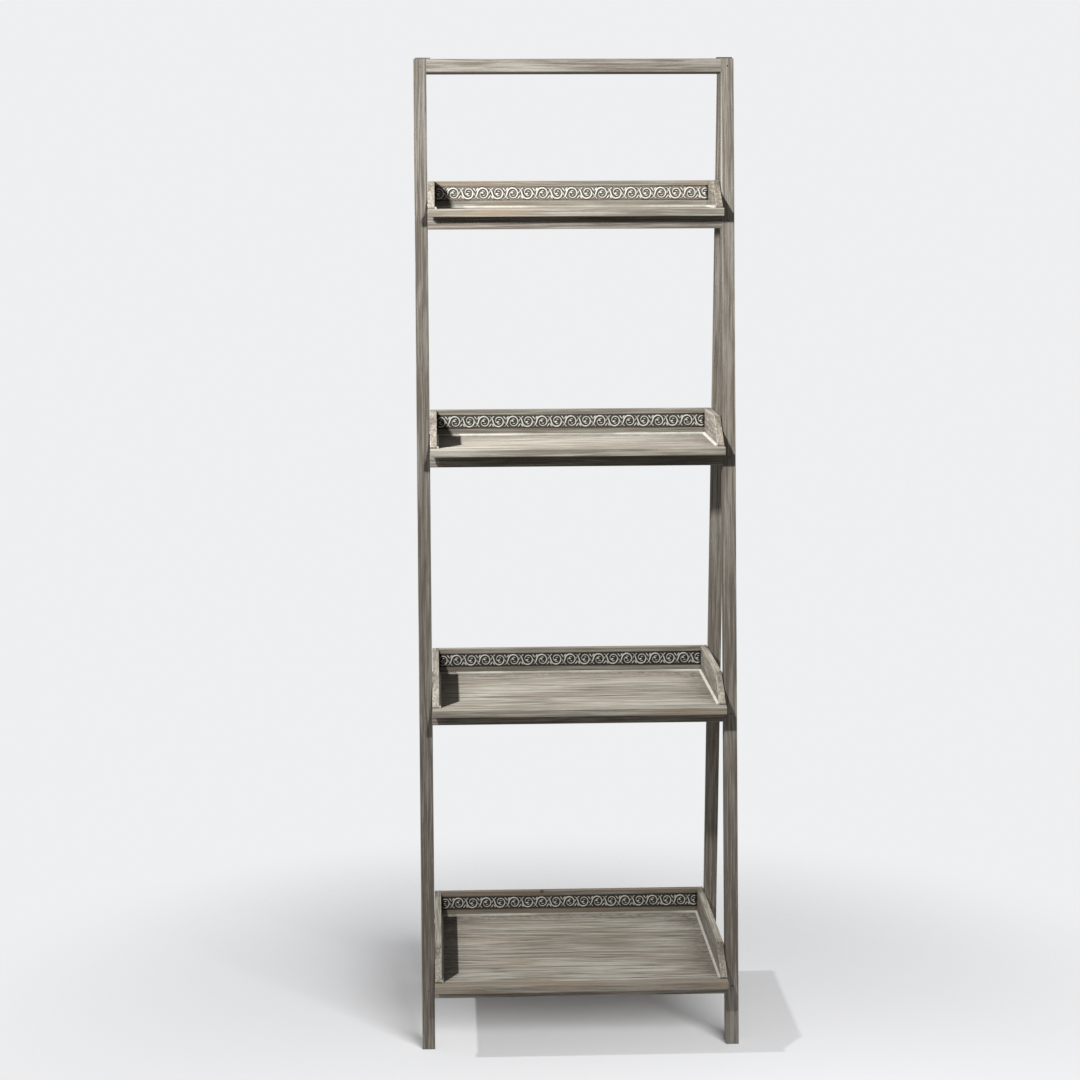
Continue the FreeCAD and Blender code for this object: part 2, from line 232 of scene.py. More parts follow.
class Value:
    """One socket of a shader, so that sums on it read as Python expressions."""

    def __init__(self, shader, socket):
        self.shader = shader
        self.socket = socket

    def _math(self, operation, first, second):
        return self.shader.node("ShaderNodeMath", {"operation": operation}, {0: first, 1: second})

    def __add__(self, other):
        return self._math("ADD", self, other)

    __radd__ = __add__

    def __sub__(self, other):
        return self._math("SUBTRACT", self, other)

    def __rsub__(self, other):
        return self._math("SUBTRACT", other, self)

    def __mul__(self, other):
        return self._math("MULTIPLY", self, other)

    __rmul__ = __mul__

    def __abs__(self):
        return self._math("ABSOLUTE", self, 0.0)


class Shader:
    """The nodes of a material or a world under construction."""

    def __init__(self, owner):
        self.owner = owner
        owner.use_nodes = True
        self.tree = owner.node_tree
        self.tree.nodes.clear()

    def node(self, kind, settings, inputs, output=0):
        """Add one node: its settings first, then its sockets' values or links."""
        made = self.tree.nodes.new(kind)
        for name, value in settings.items():
            setattr(made, name, value)
        for key, value in inputs.items():
            if isinstance(value, Value):
                self.tree.links.new(value.socket, made.inputs[key])
            else:
                made.inputs[key].default_value = value
        return Value(self, made.outputs[output]) if made.outputs else None

    def vector_math(self, operation, first, second, output=0):
        """Sum on two vectors; output 1 is a number."""
        return self.node("ShaderNodeVectorMath", {"operation": operation}, {0: first, 1: second}, output)

    def place(self, turn=(0, 0, 0)):
        """The piece's own coordinates, turned so that its grain runs along X."""
        place = self.node("ShaderNodeTexCoord", {}, {}, "Object")
        return self.node("ShaderNodeMapping", {}, {"Vector": place, "Rotation": turn})

    def noise(self, place, stretch, detail, roughness=0.5):
        """Cloudy noise whose patches are 1 / stretch long in each direction."""
        return self.node("ShaderNodeTexNoise", {}, {
            "Vector": self.vector_math("MULTIPLY", place, stretch), "Scale": 1.0, "Detail": detail,
            "Roughness": roughness})

    def between(self, value, low, high):
        """0 on the low side, 1 on the high side, smooth in between; low may be the larger number."""
        return self.node("ShaderNodeMapRange", {"interpolation_type": "SMOOTHSTEP"}, {
            "Value": value, "From Min": low, "From Max": high})

    def mix(self, share, first, second):
        """Colour between two colours, by the colour sockets of a Mix node."""
        return self.node("ShaderNodeMix", {"data_type": "RGBA"}, {
            0: share, 6: opaque(first), 7: opaque(second)}, 2)

    def worn_edge(self, width):
        """1 on the piece's sharp edges, 0 on its flat faces."""
        soft = self.node("ShaderNodeBevel", {"samples": 6}, {"Radius": width})
        flat = self.node("ShaderNodeNewGeometry", {}, {}, "Normal")
        alike = self.vector_math("DOT_PRODUCT", soft, flat, 1)
        return self.between(1 - alike, 0.02, 0.22)

    def occlusion_mask(self, reach, start=0.75, full=0.2):
        """1 deep in corners and joints, 0 on open faces; start and full are open shares."""
        open_share = self.node("ShaderNodeAmbientOcclusion", {"samples": 8}, {"Distance": reach}, "AO")
        return self.between(open_share, start, full)

    def bump(self, height, strength, depth):
        """Normal of a surface with fine relief."""
        return self.node("ShaderNodeBump", {}, {"Strength": strength, "Distance": depth, "Height": height})

    def finish(self, sockets):
        """Close a material with a Principled surface."""
        surface = self.node("ShaderNodeBsdfPrincipled", {}, sockets)
        self.node("ShaderNodeOutputMaterial", {}, {"Surface": surface})
        return self.owner


def new_material(name):
    """Start a material."""
    return Shader(bpy.data.materials.new(name))


def opaque(colour):
    """A colour of three numbers gets its alpha; a socket stays as it is."""
    return colour if isinstance(colour, Value) else (*colour, 1.0)


def toned(colour, share):
    """A colour made darker or lighter."""
    return tuple(share * part for part in colour)


# Finishes

GRAIN_ALONG_X = (0.0, 0.0, 0.0)
GRAIN_ALONG_Y = (0.0, 0.0, -math.pi / 2)
GRAIN_UP_FRONT = (LEAN, math.pi / 2, 0.0)
GRAIN_UP_REAR = (-LEAN, math.pi / 2, 0.0)

# Patches of grain in a metre, along the grain and across it
SWAYS = (6, 18, 18)
CLOUDS = (4, 16, 16)
STREAKS = (9, 430, 430)
FLOOR_STREAKS = (11, 340, 340)
SIDE_STREAKS = (14, 360, 360)
GROWTH_LINES = (5, 110, 110)
FIBRES = (70, 1700, 1700)
TAN_PATCHES = (5, 40, 40)
RINGS = (1.8, 22, 22)
SPECKLES = (90, 160, 160)

# How far the grain sways to the side, and how the layers of a finish show
SWAY_ACROSS = 0.008
SWAY_DEEP = 0.006
MIDDLE = 0.5
LINE_WIDTH = 0.045
GROWTH_SHARE = 0.5
TAN_SHARE = 0.5
TAN_FROM = 0.52
TAN_BLEND = 0.23
RING_TURNS = 44.0
PORE_SHARE = 0.45
RUBBED_EDGE = 0.0011
RUBBED_SHARE = 0.5
# Painted shade in corners and joints, which also stands for dirt: how far it reaches and how dark it gets
SHADE_AND_DIRT_REACH = 0.007
SHADE_AND_DIRT_SHARE = 0.75
# How far the painted shade and the grime spread from a tray's corners
GRIME_AND_SHADE_REACH = 0.065
KNOT_HEART = 0.0015
KNOT_RIM = 0.005
KNOT_RAGGED = 0.004
WOOD_SHEEN = 0.3


class Grain:
    """The layers of grain in a board."""

    def __init__(self, shader, board, streaks):
        sway = shader.noise(board, SWAYS, 1) - MIDDLE
        drift = shader.node("ShaderNodeCombineXYZ", {}, {
            "X": 0.0, "Y": sway * SWAY_ACROSS, "Z": sway * SWAY_DEEP})
        self.place = shader.vector_math("ADD", board, drift)
        self.cloud = shader.noise(self.place, CLOUDS, 2)
        self.streak = shader.noise(self.place, streaks, 5, 0.6)
        self.fibre = shader.noise(self.place, FIBRES, 2)
        line = shader.noise(self.place, GROWTH_LINES, 2)
        self.growth = 1 - shader.between(abs(line - MIDDLE), 0.0, LINE_WIDTH)
        self.tone = shader.between(self.streak + (self.cloud - MIDDLE) * 0.35, 0.38, 0.64)


def bare_wood(shader, grain, tones, tan_share, tan_from):
    """Heart and sap in streaks, with tan patches and growth lines."""
    colour = shader.mix(grain.tone, tones.heart, tones.sap)
    tan = shader.between(shader.noise(grain.place, TAN_PATCHES, 2), tan_from, tan_from + TAN_BLEND)
    colour = shader.mix(tan * tan_share, colour, tones.tan)
    return shader.mix(grain.growth * GROWTH_SHARE, colour, tones.heart)


def limed(shader, grain, colour, tones, share):
    """Pale wash, thick in some streaks and rubbed out of others."""
    thick = 0.5 * grain.cloud + 0.25 + (grain.streak - MIDDLE) * 1.5 + (grain.fibre - MIDDLE) * 0.5
    return shader.mix(shader.between(thick, 0.42, 0.78) * share, colour, tones.wash)


def ringed(shader, grain, colour, tones, share):
    """Dark figure of the growth rings on a wide board."""
    ring = shader.noise(grain.place, RINGS, 3)
    wave = shader.node("ShaderNodeMath", {"operation": "SINE"}, {0: ring * RING_TURNS})
    rings = shader.between(wave, 0.6, 1.0) * shader.between(grain.streak, 0.6, 0.36)
    return shader.mix(rings * share, colour, tones.pore)


def aged_and_shaded(shader, grain, colour, tones):
    """Dark pores, rubbed edges, and painted shade in the corners and joints, which also stands for dirt.
    """
    colour = shader.mix(shader.between(grain.fibre, 0.6, 0.72) * PORE_SHARE, colour, tones.pore)
    colour = shader.mix(shader.worn_edge(RUBBED_EDGE) * RUBBED_SHARE, colour, tones.wash)
    # Painted shade: darker where corners and joints are occluded, meant also as dirt
    return shader.mix(shader.occlusion_mask(SHADE_AND_DIRT_REACH) * SHADE_AND_DIRT_SHARE, colour, tones.pore)


def grimed_and_shaded(shader, board, colour, tones):
    """Speckled grime and painted shade that spread from a tray's corners over its boards, darkest near its
    walls.
    """
    speckle = shader.between(shader.noise(board, SPECKLES, 4, 0.7), 0.42, 0.6)
    # Painted shade: darker near the tray's walls and corners, fading out over its boards
    corner_shade = shader.occlusion_mask(GRIME_AND_SHADE_REACH, 0.98, 0.6)
    return shader.mix(corner_shade * (0.34 + speckle * 0.42), colour, tones.pore)


def with_knot(shader, board, grain, colour, tones, knot):
    """A small dark knot with a ragged rim."""
    away = shader.vector_math("DISTANCE", board, knot, 1) + (grain.streak - MIDDLE) * KNOT_RAGGED
    return shader.mix(1 - shader.between(away, KNOT_HEART, KNOT_RIM), colour, tones.pore)


def washed_wood(name, tones, turn, wash, darkening=0.0, streaks=STREAKS, tan_share=TAN_SHARE,
                tan_from=TAN_FROM, figure=0.0, grimy_and_shaded=False, knot=None):
    """Streaky wood with a pale wash, dark pores, worn edges and painted shade in its corners; wash,
    darkening and figure are shares.
    """
    shader = new_material(name)
    board = shader.place(turn)
    grain = Grain(shader, board, streaks)
    colour = bare_wood(shader, grain, tones, tan_share, tan_from)
    colour = limed(shader, grain, colour, tones, wash)
    if figure:
        colour = ringed(shader, grain, colour, tones, figure)
    colour = aged_and_shaded(shader, grain, colour, tones)
    if grimy_and_shaded:
        colour = grimed_and_shaded(shader, board, colour, tones)
    # Darker all over; on the back boards this is partly painted shade
    if darkening:
        colour = shader.mix(darkening, colour, tones.pore)
    if knot:
        colour = with_knot(shader, board, grain, colour, tones, knot)
    height = grain.streak * 0.7 + grain.fibre * 0.5 - grain.growth * 0.35
    return shader.finish({
        "Base Color": colour, "Roughness": 0.74 - grain.tone * 0.14,
        "Normal": shader.bump(height, 0.35, 0.0006), "Specular IOR Level": WOOD_SHEEN})


# Patches of a bead in a metre
BEAD_RUBS = (60, 60, 200)
BEAD_SPECKS = (420, 420, 420)
BEAD_PATCHES = (7, 7, 7)

# Tone of a bead's wash, and where its length along the back begins
BEAD_WASH = 0.92
BEAD_MITRE = 0.0007
BEAD_FADE = 0.006


def bead_wood(tones):
    """Bead with the wash left thick on it, rubbed in places, most of all along the back."""
    shader = new_material("bead_wood")
    place = shader.place()
    rubbed = shader.noise(place, BEAD_RUBS, 4, 0.6)
    specks = shader.noise(place, BEAD_SPECKS, 2)
    bare = shader.noise(place, BEAD_PATCHES, 2)
    colour = shader.mix(shader.between(rubbed, 0.46, 0.7) * 0.6, toned(tones.wash, BEAD_WASH), tones.sap)
    across = abs(shader.node("ShaderNodeSeparateXYZ", {}, {0: place}, "X"))
    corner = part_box("tray_1_corner_beads")[1].x - BEAD_MITRE
    rear = shader.between(across, corner, corner - BEAD_FADE)
    colour = shader.mix(shader.between(bare, 0.44, 0.6) * rear * 0.6, colour, tones.heart)
    colour = shader.mix(shader.between(specks, 0.62, 0.75) * 0.5, colour, tones.heart)
    return shader.finish({
        "Base Color": colour, "Roughness": 0.7 - rubbed * 0.1,
        "Normal": shader.bump(specks, 0.2, 0.0004), "Specular IOR Level": WOOD_SHEEN})


# Patches of the carving in a metre
CARVED_PATCHES = (40, 40, 90)
CARVED_FIBRES = (120, 900, 900)
PUNCHES = (900, 300, 900)

# Dark glaze in the creases and the punch marks
CREASE_TONE = 0.18
GLAZE_REACH = 0.0045
GLAZE_SHARE = 0.95
PUNCH_SHARE = 0.5


def carved_wood(name, tones, ground_tone_and_shade, rubbed_tone_and_light):
    """Carved band: dark glaze left in the creases, a punched ground, and pale wash rubbed over the tops
    that also paints their highlights.
    """
    shader = new_material(name)
    place = shader.place()
    relief = shader.node("ShaderNodeAttribute", {"attribute_name": "relief"}, {}, "Fac")
    patch = shader.noise(place, CARVED_PATCHES, 3)
    fibre = shader.noise(place, CARVED_FIBRES, 3)
    punch = shader.node("ShaderNodeTexVoronoi", {}, {
        "Vector": shader.vector_math("MULTIPLY", place, PUNCHES), "Scale": 1.0})
    dimple = shader.between(punch, 0.45, 0.15) * shader.between(relief, 0.5, 0.15)
    crease = toned(tones.pore, CREASE_TONE)
    # Paler tops and darker ground: rubbed wash, and also a painted highlight on the tops
    rubbed_and_highlit = shader.between(relief + (patch - MIDDLE) * 0.3, 0.25, 0.95)
    colour = shader.mix(rubbed_and_highlit, toned(tones.heart, ground_tone_and_shade), toned(tones.wash, rubbed_tone_and_light))
    colour = shader.mix(shader.between(fibre, 0.5, 0.75) * 0.3, colour, tones.heart)
    colour = shader.mix(shader.occlusion_mask(GLAZE_REACH, 0.98, 0.78) * GLAZE_SHARE, colour, crease)
    colour = shader.mix(dimple * PUNCH_SHARE, colour, crease)
    return shader.finish({
        "Base Color": colour, "Roughness": 0.72 - relief * 0.1,
        "Normal": shader.bump(fibre * 0.4 - dimple, 0.25, 0.0004), "Specular IOR Level": WOOD_SHEEN})


# Patches of metal in a metre, and the width of its worn edges
METAL_FILM = (180, 180, 180)
METAL_SCRATCHES = (2600, 140, 2600)
METAL_EDGE = 0.0005


def aged_metal(name, colour, bright, dull=0.0):
    """Metal with worn patches, fine scratches and a duller film in between."""
    shader = new_material(name)
    place = shader.place()
    film = shader.noise(place, METAL_FILM, 4, 0.6)
    scratch = shader.noise(place, METAL_SCRATCHES, 2)
    worn = shader.between(film + (scratch - MIDDLE) * 0.4, 0.48, 0.7)
    tone = shader.mix(worn, colour, bright)
    tone = shader.mix(shader.worn_edge(METAL_EDGE) * 0.5, tone, bright)
    return shader.finish({
        "Base Color": tone, "Metallic": 0.55 - dull + worn * 0.35, "Roughness": 0.58 + dull - worn * 0.16,
        "Normal": shader.bump(scratch, 0.15, 0.0002)})


def dress(node, material):
    """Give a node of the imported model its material."""
    for slot in frame["nodes"][node].material_slots:
        slot.material = material


# Modelling helpers

ROUNDED_FROM = math.radians(40)


def deselect():
    """Leave nothing selected, so that an operator acts on new objects alone."""
    bpy.ops.object.select_all(action="DESELECT")


def only(obj):
    """Select one object and nothing else."""
    deselect()
    obj.select_set(True)
    bpy.context.view_layer.objects.active = obj


def modified(obj, kind, **settings):
    """Add a modifier with its settings and apply it."""
    only(obj)
    modifier = obj.modifiers.new(kind.title(), kind)
    for name, value in settings.items():
        setattr(modifier, name, value)
    bpy.ops.object.modifier_apply(modifier=modifier.name)


def rounded(obj, width, segments):
    """Round an object's sharp edges."""
    modified(obj, "BEVEL", width=width, segments=segments, limit_method="ANGLE", angle_limit=ROUNDED_FROM)


def settled(obj):
    """Put an object's place and turn into its mesh."""
    only(obj)
    bpy.ops.object.transform_apply(location=True, rotation=True, scale=True)
    return obj


def placed(obj, matrix):
    """Move an object by a matrix and put its new place into its mesh."""
    obj.matrix_world = matrix @ obj.matrix_world
    return settled(obj)


def copied(model, name):
    """A copy of a model, with its own mesh."""
    copy = bpy.data.objects.new(name, model.data.copy())
    bpy.context.scene.collection.objects.link(copy)
    return copy


def joined(name, objects):
    """Make one piece of several."""
    deselect()
    for obj in objects:
        obj.select_set(True)
    piece = objects[0]
    bpy.context.view_layer.objects.active = piece
    bpy.ops.object.join()
    piece.name = name
    piece.data.name = name
    return piece


def smooth(obj, degrees):
    """Shade an object smooth, apart from its sharper edges."""
    only(obj)
    bpy.ops.object.shade_smooth_by_angle(angle=math.radians(degrees))


def fitted(piece, body, material):
    """Ride a finished piece on its body, in its material."""
    piece.data.materials.clear()
    piece.data.materials.append(material)
    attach(piece, body)


def frame_turn(side):
    """Turn and place of a leaning frame, from upright at the hinge axis."""
    return Matrix.Translation(HINGE_AXIS) @ Matrix.Rotation(side * LEAN, 4, "X")


# Carving

# Degrees that a stem turns in its scroll, and those in which it winds in to the eye
SPIRAL_SWEEP = 440.0
WINDING_START = 190.0
WINDING_SWEEP = 250.0

# Points of a spiral, and how much thinner its stem gets
SPIRAL_STEPS = 20
STEM_TAPER = 0.35

# Points of a stem's tail: along in pitches, along and up in scroll radii, and its width in stems
STEM_TAIL = (
    (-1.0, 0.62, -0.86, 0.3), (-0.62, 0.0, -1.06, 0.55),
    (0.0, -1.32, -0.74, 0.75), (0.0, -1.06, -0.25, 0.9),
)

# Points of each leaf: along and up in scroll radii, and its width in stems.
# The first are set out from the middle of the gap beside a scroll, the others from the scroll's own.
GAP_LEAVES = (
    ((0.10, 0.20, 0.4), (-0.06, 0.62, 1.1), (-0.28, 0.92, 1.1), (-0.60, 1.12, 0.2)),
    ((0.16, 0.36, 0.4), (0.28, 0.72, 1.1), (0.46, 0.96, 1.0), (0.74, 1.12, 0.2)),
    ((0.22, -0.56, 0.4), (0.36, -0.84, 1.0), (0.52, -1.0, 0.9), (0.8, -1.14, 0.2)),
    ((0.06, -0.5, 0.4), (-0.12, -0.34, 0.9), (-0.2, -0.06, 0.9), (-0.16, 0.22, 0.2)),
)
SCROLL_LEAVES = (
    ((-0.24, 0.38, 0.4), (0.05, 0.56, 1.1), (0.32, 0.50, 1.0), (0.54, 0.26, 0.2)),
    ((0.54, -0.26, 0.4), (0.32, -0.40, 1.0), (0.06, -0.42, 1.0), (-0.2, -0.3, 0.2)),
    ((-0.32, 0.16, 0.7), (-0.12, 0.12, 1.3), (0.08, 0.06, 1.3), (0.26, -0.04, 0.3)),
)


def spiral_radius(settings, swept):
    """Radius of a scroll's stem after it has swept an angle in degrees."""
    winding = min(1.0, max(0.0, (swept - WINDING_START) / WINDING_SWEEP))
    eased = winding * winding * (3 - 2 * winding)
    return settings.scroll_radius + (settings.eye_radius - settings.scroll_radius) * eased


def stem_path(settings, centre, side):
    """Places and widths along one stem: its tail from the scroll before, then the spiral."""
    pitch = settings.scroll_pitch
    wide = settings.scroll_radius
    path = [(centre + pitch * pitches + wide * x, side * wide * z, width)
            for pitches, x, z, width in STEM_TAIL]
    for step in range(1, SPIRAL_STEPS + 1):
        swept = SPIRAL_SWEEP * step / SPIRAL_STEPS
        turn = math.pi - math.radians(swept)
        radius = spiral_radius(settings, swept)
        width = 1.0 - STEM_TAPER * step / SPIRAL_STEPS
        path.append((centre + radius * math.cos(turn), side * radius * math.sin(turn), width))
    return path


def leaf_paths(settings, centre, side):
    """Leaves of one scroll: four in the gap beside it, two inside it, and the bud at its eye."""
    wide = settings.scroll_radius
    gap = centre - settings.scroll_pitch / 2
    paths = []
    for middle, leaves in ((gap, GAP_LEAVES), (centre, SCROLL_LEAVES)):
        for leaf in leaves:
            paths.append([(middle + x * wide, side * z * wide, width) for x, z, width in leaf])
    return paths


def add_stroke(curve, path):
    """Add one smooth stroke to a carving curve."""
    stroke = curve.splines.new("NURBS")
    stroke.points.add(len(path) - 1)
    for point, (x, z, width) in zip(stroke.points, path):
        point.co = (x, 0.0, z, 1.0)
        point.radius = width
    stroke.order_u = 4
    stroke.use_endpoint_u = True
    stroke.resolution_u = 5


def scroll_work(settings, length):
    """Stems and leaves of the whole band, half sunk in the ground."""
    pitch = settings.scroll_pitch
    curve = bpy.data.curves.new("scrolls", "CURVE")
    curve.dimensions = "3D"
    curve.bevel_depth = settings.stem_radius
    curve.bevel_resolution = 3
    curve.use_fill_caps = True
    count = math.ceil(length / pitch / 2) + 1
    for number in range(-count, count + 1):
        side = 1 if number % 2 == 0 else -1
        centre = number * pitch
        add_stroke(curve, stem_path(settings, centre, side))
        for path in leaf_paths(settings, centre, side):
            add_stroke(curve, path)
    scrolls = bpy.data.objects.new("scrolls", curve)
    bpy.context.scene.collection.objects.link(scrolls)
    only(scrolls)
    bpy.ops.object.convert(target="MESH")
    scrolls = bpy.context.object
    scrolls.location.y = settings.ground_depth
    return settled(scrolls)


def sunk_plate(settings, length, height, thickness):
    """Plain strip whose face is cut down to the ground inside a narrow border."""
    bpy.ops.mesh.primitive_cube_add(size=1, location=(0, thickness / 2, 0))
    plate = bpy.context.object
    plate.scale = (length, thickness, height)
    settled(plate)
    bpy.ops.object.mode_set(mode="EDIT")
    bpy.ops.mesh.select_all(action="DESELECT")
    bpy.ops.object.mode_set(mode="OBJECT")
    for face in plate.data.polygons:
        face.select = face.normal.y < -0.5
    bpy.ops.object.mode_set(mode="EDIT")
    bpy.ops.mesh.inset(thickness=settings.border)
    bpy.ops.transform.translate(value=(0, settings.ground_depth, 0))
    bpy.ops.object.mode_set(mode="OBJECT")
    return plate


def carved_strip(settings, length, height, thickness):
    """Frieze strip centred on the origin, its face at y = 0 and its back at y = thickness."""
    scrolls = scroll_work(settings, length)
    plate = sunk_plate(settings, length + 4 * settings.scroll_pitch, height, thickness)
    strip = joined("carved_strip", [plate, scrolls])
    modified(strip, "REMESH", mode="VOXEL", voxel_size=settings.chisel)
    modified(strip, "SMOOTH", factor=0.5, iterations=2)
    only(strip)
    for end in LEFT_AND_RIGHT:
        bpy.ops.object.mode_set(mode="EDIT")
        bpy.ops.mesh.select_all(action="SELECT")
        bpy.ops.mesh.bisect(
            plane_co=(end * length / 2, 0, 0), plane_no=(end, 0, 0), use_fill=True, clear_outer=True)
        bpy.ops.object.mode_set(mode="OBJECT")
    modified(strip, "DECIMATE", ratio=settings.kept_faces)
    only(strip)
    bpy.ops.object.shade_smooth()
    mark_relief(strip, settings.ground_depth)
    return strip


def mark_relief(strip, ground_depth):
    """Store how high the carving stands at each point, for its finish."""
    mesh = strip.data
    places = np.zeros(len(mesh.vertices) * 3)
    mesh.vertices.foreach_get("co", places)
    relief = np.clip(1 - places.reshape(-1, 3)[:, 1] / ground_depth, 0, 1)
    mesh.attributes.new("relief", "FLOAT", "POINT").data.foreach_set("value", relief.astype(np.float32))


# Operators

class STAND_OT_finish_frames(Operator):
    """Give both ladder frames their brown-grey wash"""

    bl_idname = "stand.finish_frames"
    bl_label = "Finish frames"

    WASH = 0.5

    def execute(self, context):
        tones = context.scene.stand_frame
        across = washed_wood("frame_wood_rungs", tones, GRAIN_ALONG_X, self.WASH)
        front = washed_wood("frame_wood_front", tones, GRAIN_UP_FRONT, self.WASH)
        rear = washed_wood("frame_wood_rear", tones, GRAIN_UP_REAR, self.WASH)
        for node in frame["nodes"]:
            if node.endswith("_stile"):
                dress(node, front)
            elif node.endswith("_leg"):
                dress(node, rear)
            elif "_rung_" in node or node.endswith("_top_rail"):
                dress(node, across)
        return {"FINISHED"}


class STAND_OT_finish_trays(Operator):
    """Give the trays their grey lime wash"""

    bl_idname = "stand.finish_trays"
    bl_label = "Finish trays"

    KNOT_ALONG = -0.042
    WARM = {"tan_share": 0.75, "tan_from": 0.36}

    def knot_place(self):
        """A knot in the top edge of the lowest tray's back board."""
        low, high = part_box("tray_4_back_board")
        return (self.KNOT_ALONG, low.y, high.z)

    def strips(self, tones):
        """Wood of each tray's front strip; the lowest is browner."""
        plain = washed_wood("tray_wood_rims", tones, GRAIN_ALONG_X, wash=0.4, tan_share=0.95)
        brown = washed_wood("tray_wood_low_rims", tones, GRAIN_ALONG_X, wash=0.25, darkening=0.08, **self.WARM)
        return {1: plain, 2: plain, 3: plain, 4: brown}

    def back_boards(self, tones):
        """Wood of each tray's back board, darkened more than the other boards, partly as painted shade;
        the top and the lowest are browner.
        """
        top = washed_wood("tray_wood_top_back", tones, GRAIN_ALONG_X, wash=0.3, darkening=0.2, tan_share=0.8,
                          tan_from=0.4)
        plain = washed_wood("tray_wood_backs", tones, GRAIN_ALONG_X, wash=0.35, darkening=0.28)
        knotted = washed_wood("tray_wood_knot", tones, GRAIN_ALONG_X, wash=0.35, darkening=0.28,
                              knot=self.knot_place(), **self.WARM)
        return {1: top, 2: plain, 3: plain, 4: knotted}

    def execute(self, context):
        tones = context.scene.stand_tray
        floors = washed_wood("tray_wood_floors", tones, GRAIN_ALONG_X, wash=0.68, streaks=FLOOR_STREAKS,
                             figure=0.75, grimy_and_shaded=True)
        sides = washed_wood("tray_wood_sides", tones, GRAIN_ALONG_Y, wash=0.4, darkening=0.06,
                            streaks=SIDE_STREAKS, grimy_and_shaded=True)
        strips = self.strips(tones)
        back_boards = self.back_boards(tones)
        beads = bead_wood(tones)
        for number in TRAY_NUMBERS:
            finishes = {
                "floor": floors, "left_side": sides, "right_side": sides, "corner_beads": beads,
                "front_strip": strips[number], "stop_batten": strips[1],
                "back_board": back_boards[number]}
            for part, wood in finishes.items():
                dress("tray_{}_{}".format(number, part), wood)
        return {"FINISHED"}


class STAND_OT_finish_metal(Operator):
    """Give the hinges, pivot pins and nails their metal"""

    bl_idname = "stand.finish_metal"
    bl_label = "Finish metal"

    WORN_HINGE = 2.4
    WORN_STEEL = 1.5
    NAIL_TONE = 0.4
    WORN_NAIL = 0.7
    NAIL_DULLNESS = 0.25

    def execute(self, context):
        tones = context.scene.stand_metal
        nail = toned(tones.steel, self.NAIL_TONE)
        bronze = aged_metal("hinge_metal", tones.hinge, toned(tones.hinge, self.WORN_HINGE))
        steel = aged_metal("pivot_metal", tones.steel, toned(tones.steel, self.WORN_STEEL))
        aged_metal("nail_metal", nail, toned(tones.steel, self.WORN_NAIL), self.NAIL_DULLNESS)
        for node in frame["nodes"]:
            if "_hinge_" in node:
                dress(node, bronze)
            elif node.endswith("_pivots"):
                dress(node, steel)
        return {"FINISHED"}


class STAND_OT_carve_friezes(Operator):
    """Carve the running scroll band of every tray"""

    bl_idname = "stand.carve_friezes"
    bl_label = "Carve friezes"

    def execute(self, context):
        settings = context.scene.stand_frieze
        tones = context.scene.stand_tray
        deselect()
        low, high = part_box("tray_1_frieze_strip")
        size = high - low
        model = carved_strip(settings, size.x, size.z, size.y)
        for number, ground_and_shade, rubbed in zip(TRAY_NUMBERS, settings.ground_tone_and_shade, settings.rubbed_tone_and_light):
            node = "tray_{}_frieze_strip".format(number)
            low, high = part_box(node)
            strip = copied(model, "tray_{}_carved_frieze".format(number))
            strip.location = ((low.x + high.x) / 2, low.y, (low.z + high.z) / 2)
            settled(strip)
            # Each tray's copy of the frieze wood has tones that also paint the light on that tray
            wood = carved_wood("frieze_wood_{}".format(number), tones, ground_and_shade, rubbed)
            fitted(strip, "tray_{}".format(number), wood)
            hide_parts(node)
        bpy.data.objects.remove(model)
        return {"FINISHED"}


class STAND_OT_drive_nails(Operator):
    """Drive the nails that hold the frames' joints"""

    bl_idname = "stand.drive_nails"
    bl_label = "Drive nails"

    ROUNDING_SHARE = 0.1
    SUNK_SHARE = 0.17

    def nail(self, settings):
        """Nail head facing -Y at the origin, a little domed."""
        width = settings.nail_diameter
        bpy.ops.mesh.primitive_cylinder_add(
            vertices=20, radius=width / 2, depth=width / 2, rotation=(math.pi / 2, 0, 0))
        head = settled(bpy.context.object)
        rounded(head, width * self.ROUNDING_SHARE, 3)
        head.location.y = width * self.SUNK_SHARE
        settled(head)
        smooth(head, 40)
        return head

    def joints(self, prefix):
        """Boxes of the rungs and the rail that are nailed in one frame."""
        return [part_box(node) for node in sorted(frame["nodes"])
                if node.startswith(prefix) and ("_rung_" in node or node.endswith("_top_rail"))]

    def frame_depth(self, side):
        """From the hinge plane to a frame's outer face, square to the frame."""
        low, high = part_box("front_left_stile" if side == FRONT else "rear_left_leg")
        foot = low.y if side == FRONT else high.y
        return side * (foot - HINGE_AXIS.y) * math.cos(LEAN) - HINGE_AXIS.z * math.sin(LEAN)

    def execute(self, context):
        deselect()
        model = self.nail(context.scene.stand_fastener)
        low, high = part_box("front_right_stile")
        across = (low.x + high.x) / 2
        for side, prefix in BOTH_FRAMES:
            depth = self.frame_depth(side)
            facing = Matrix.Rotation(0 if side == FRONT else math.pi, 4, "Z")
            nails = []
            for low, high in self.joints(prefix):
                drop = ((low.z + high.z) / 2 - HINGE_AXIS.z) / math.cos(LEAN) - depth * math.tan(LEAN)
                for sign in LEFT_AND_RIGHT:
                    spot = Matrix.Translation((sign * across, side * depth, drop))
                    nails.append(placed(copied(model, "nail"), frame_turn(side) @ spot @ facing))
            piece = joined(prefix + "_nails", nails)
            fitted(piece, prefix + "_frame", bpy.data.materials["nail_metal"])
        bpy.data.objects.remove(model)
        return {"FINISHED"}


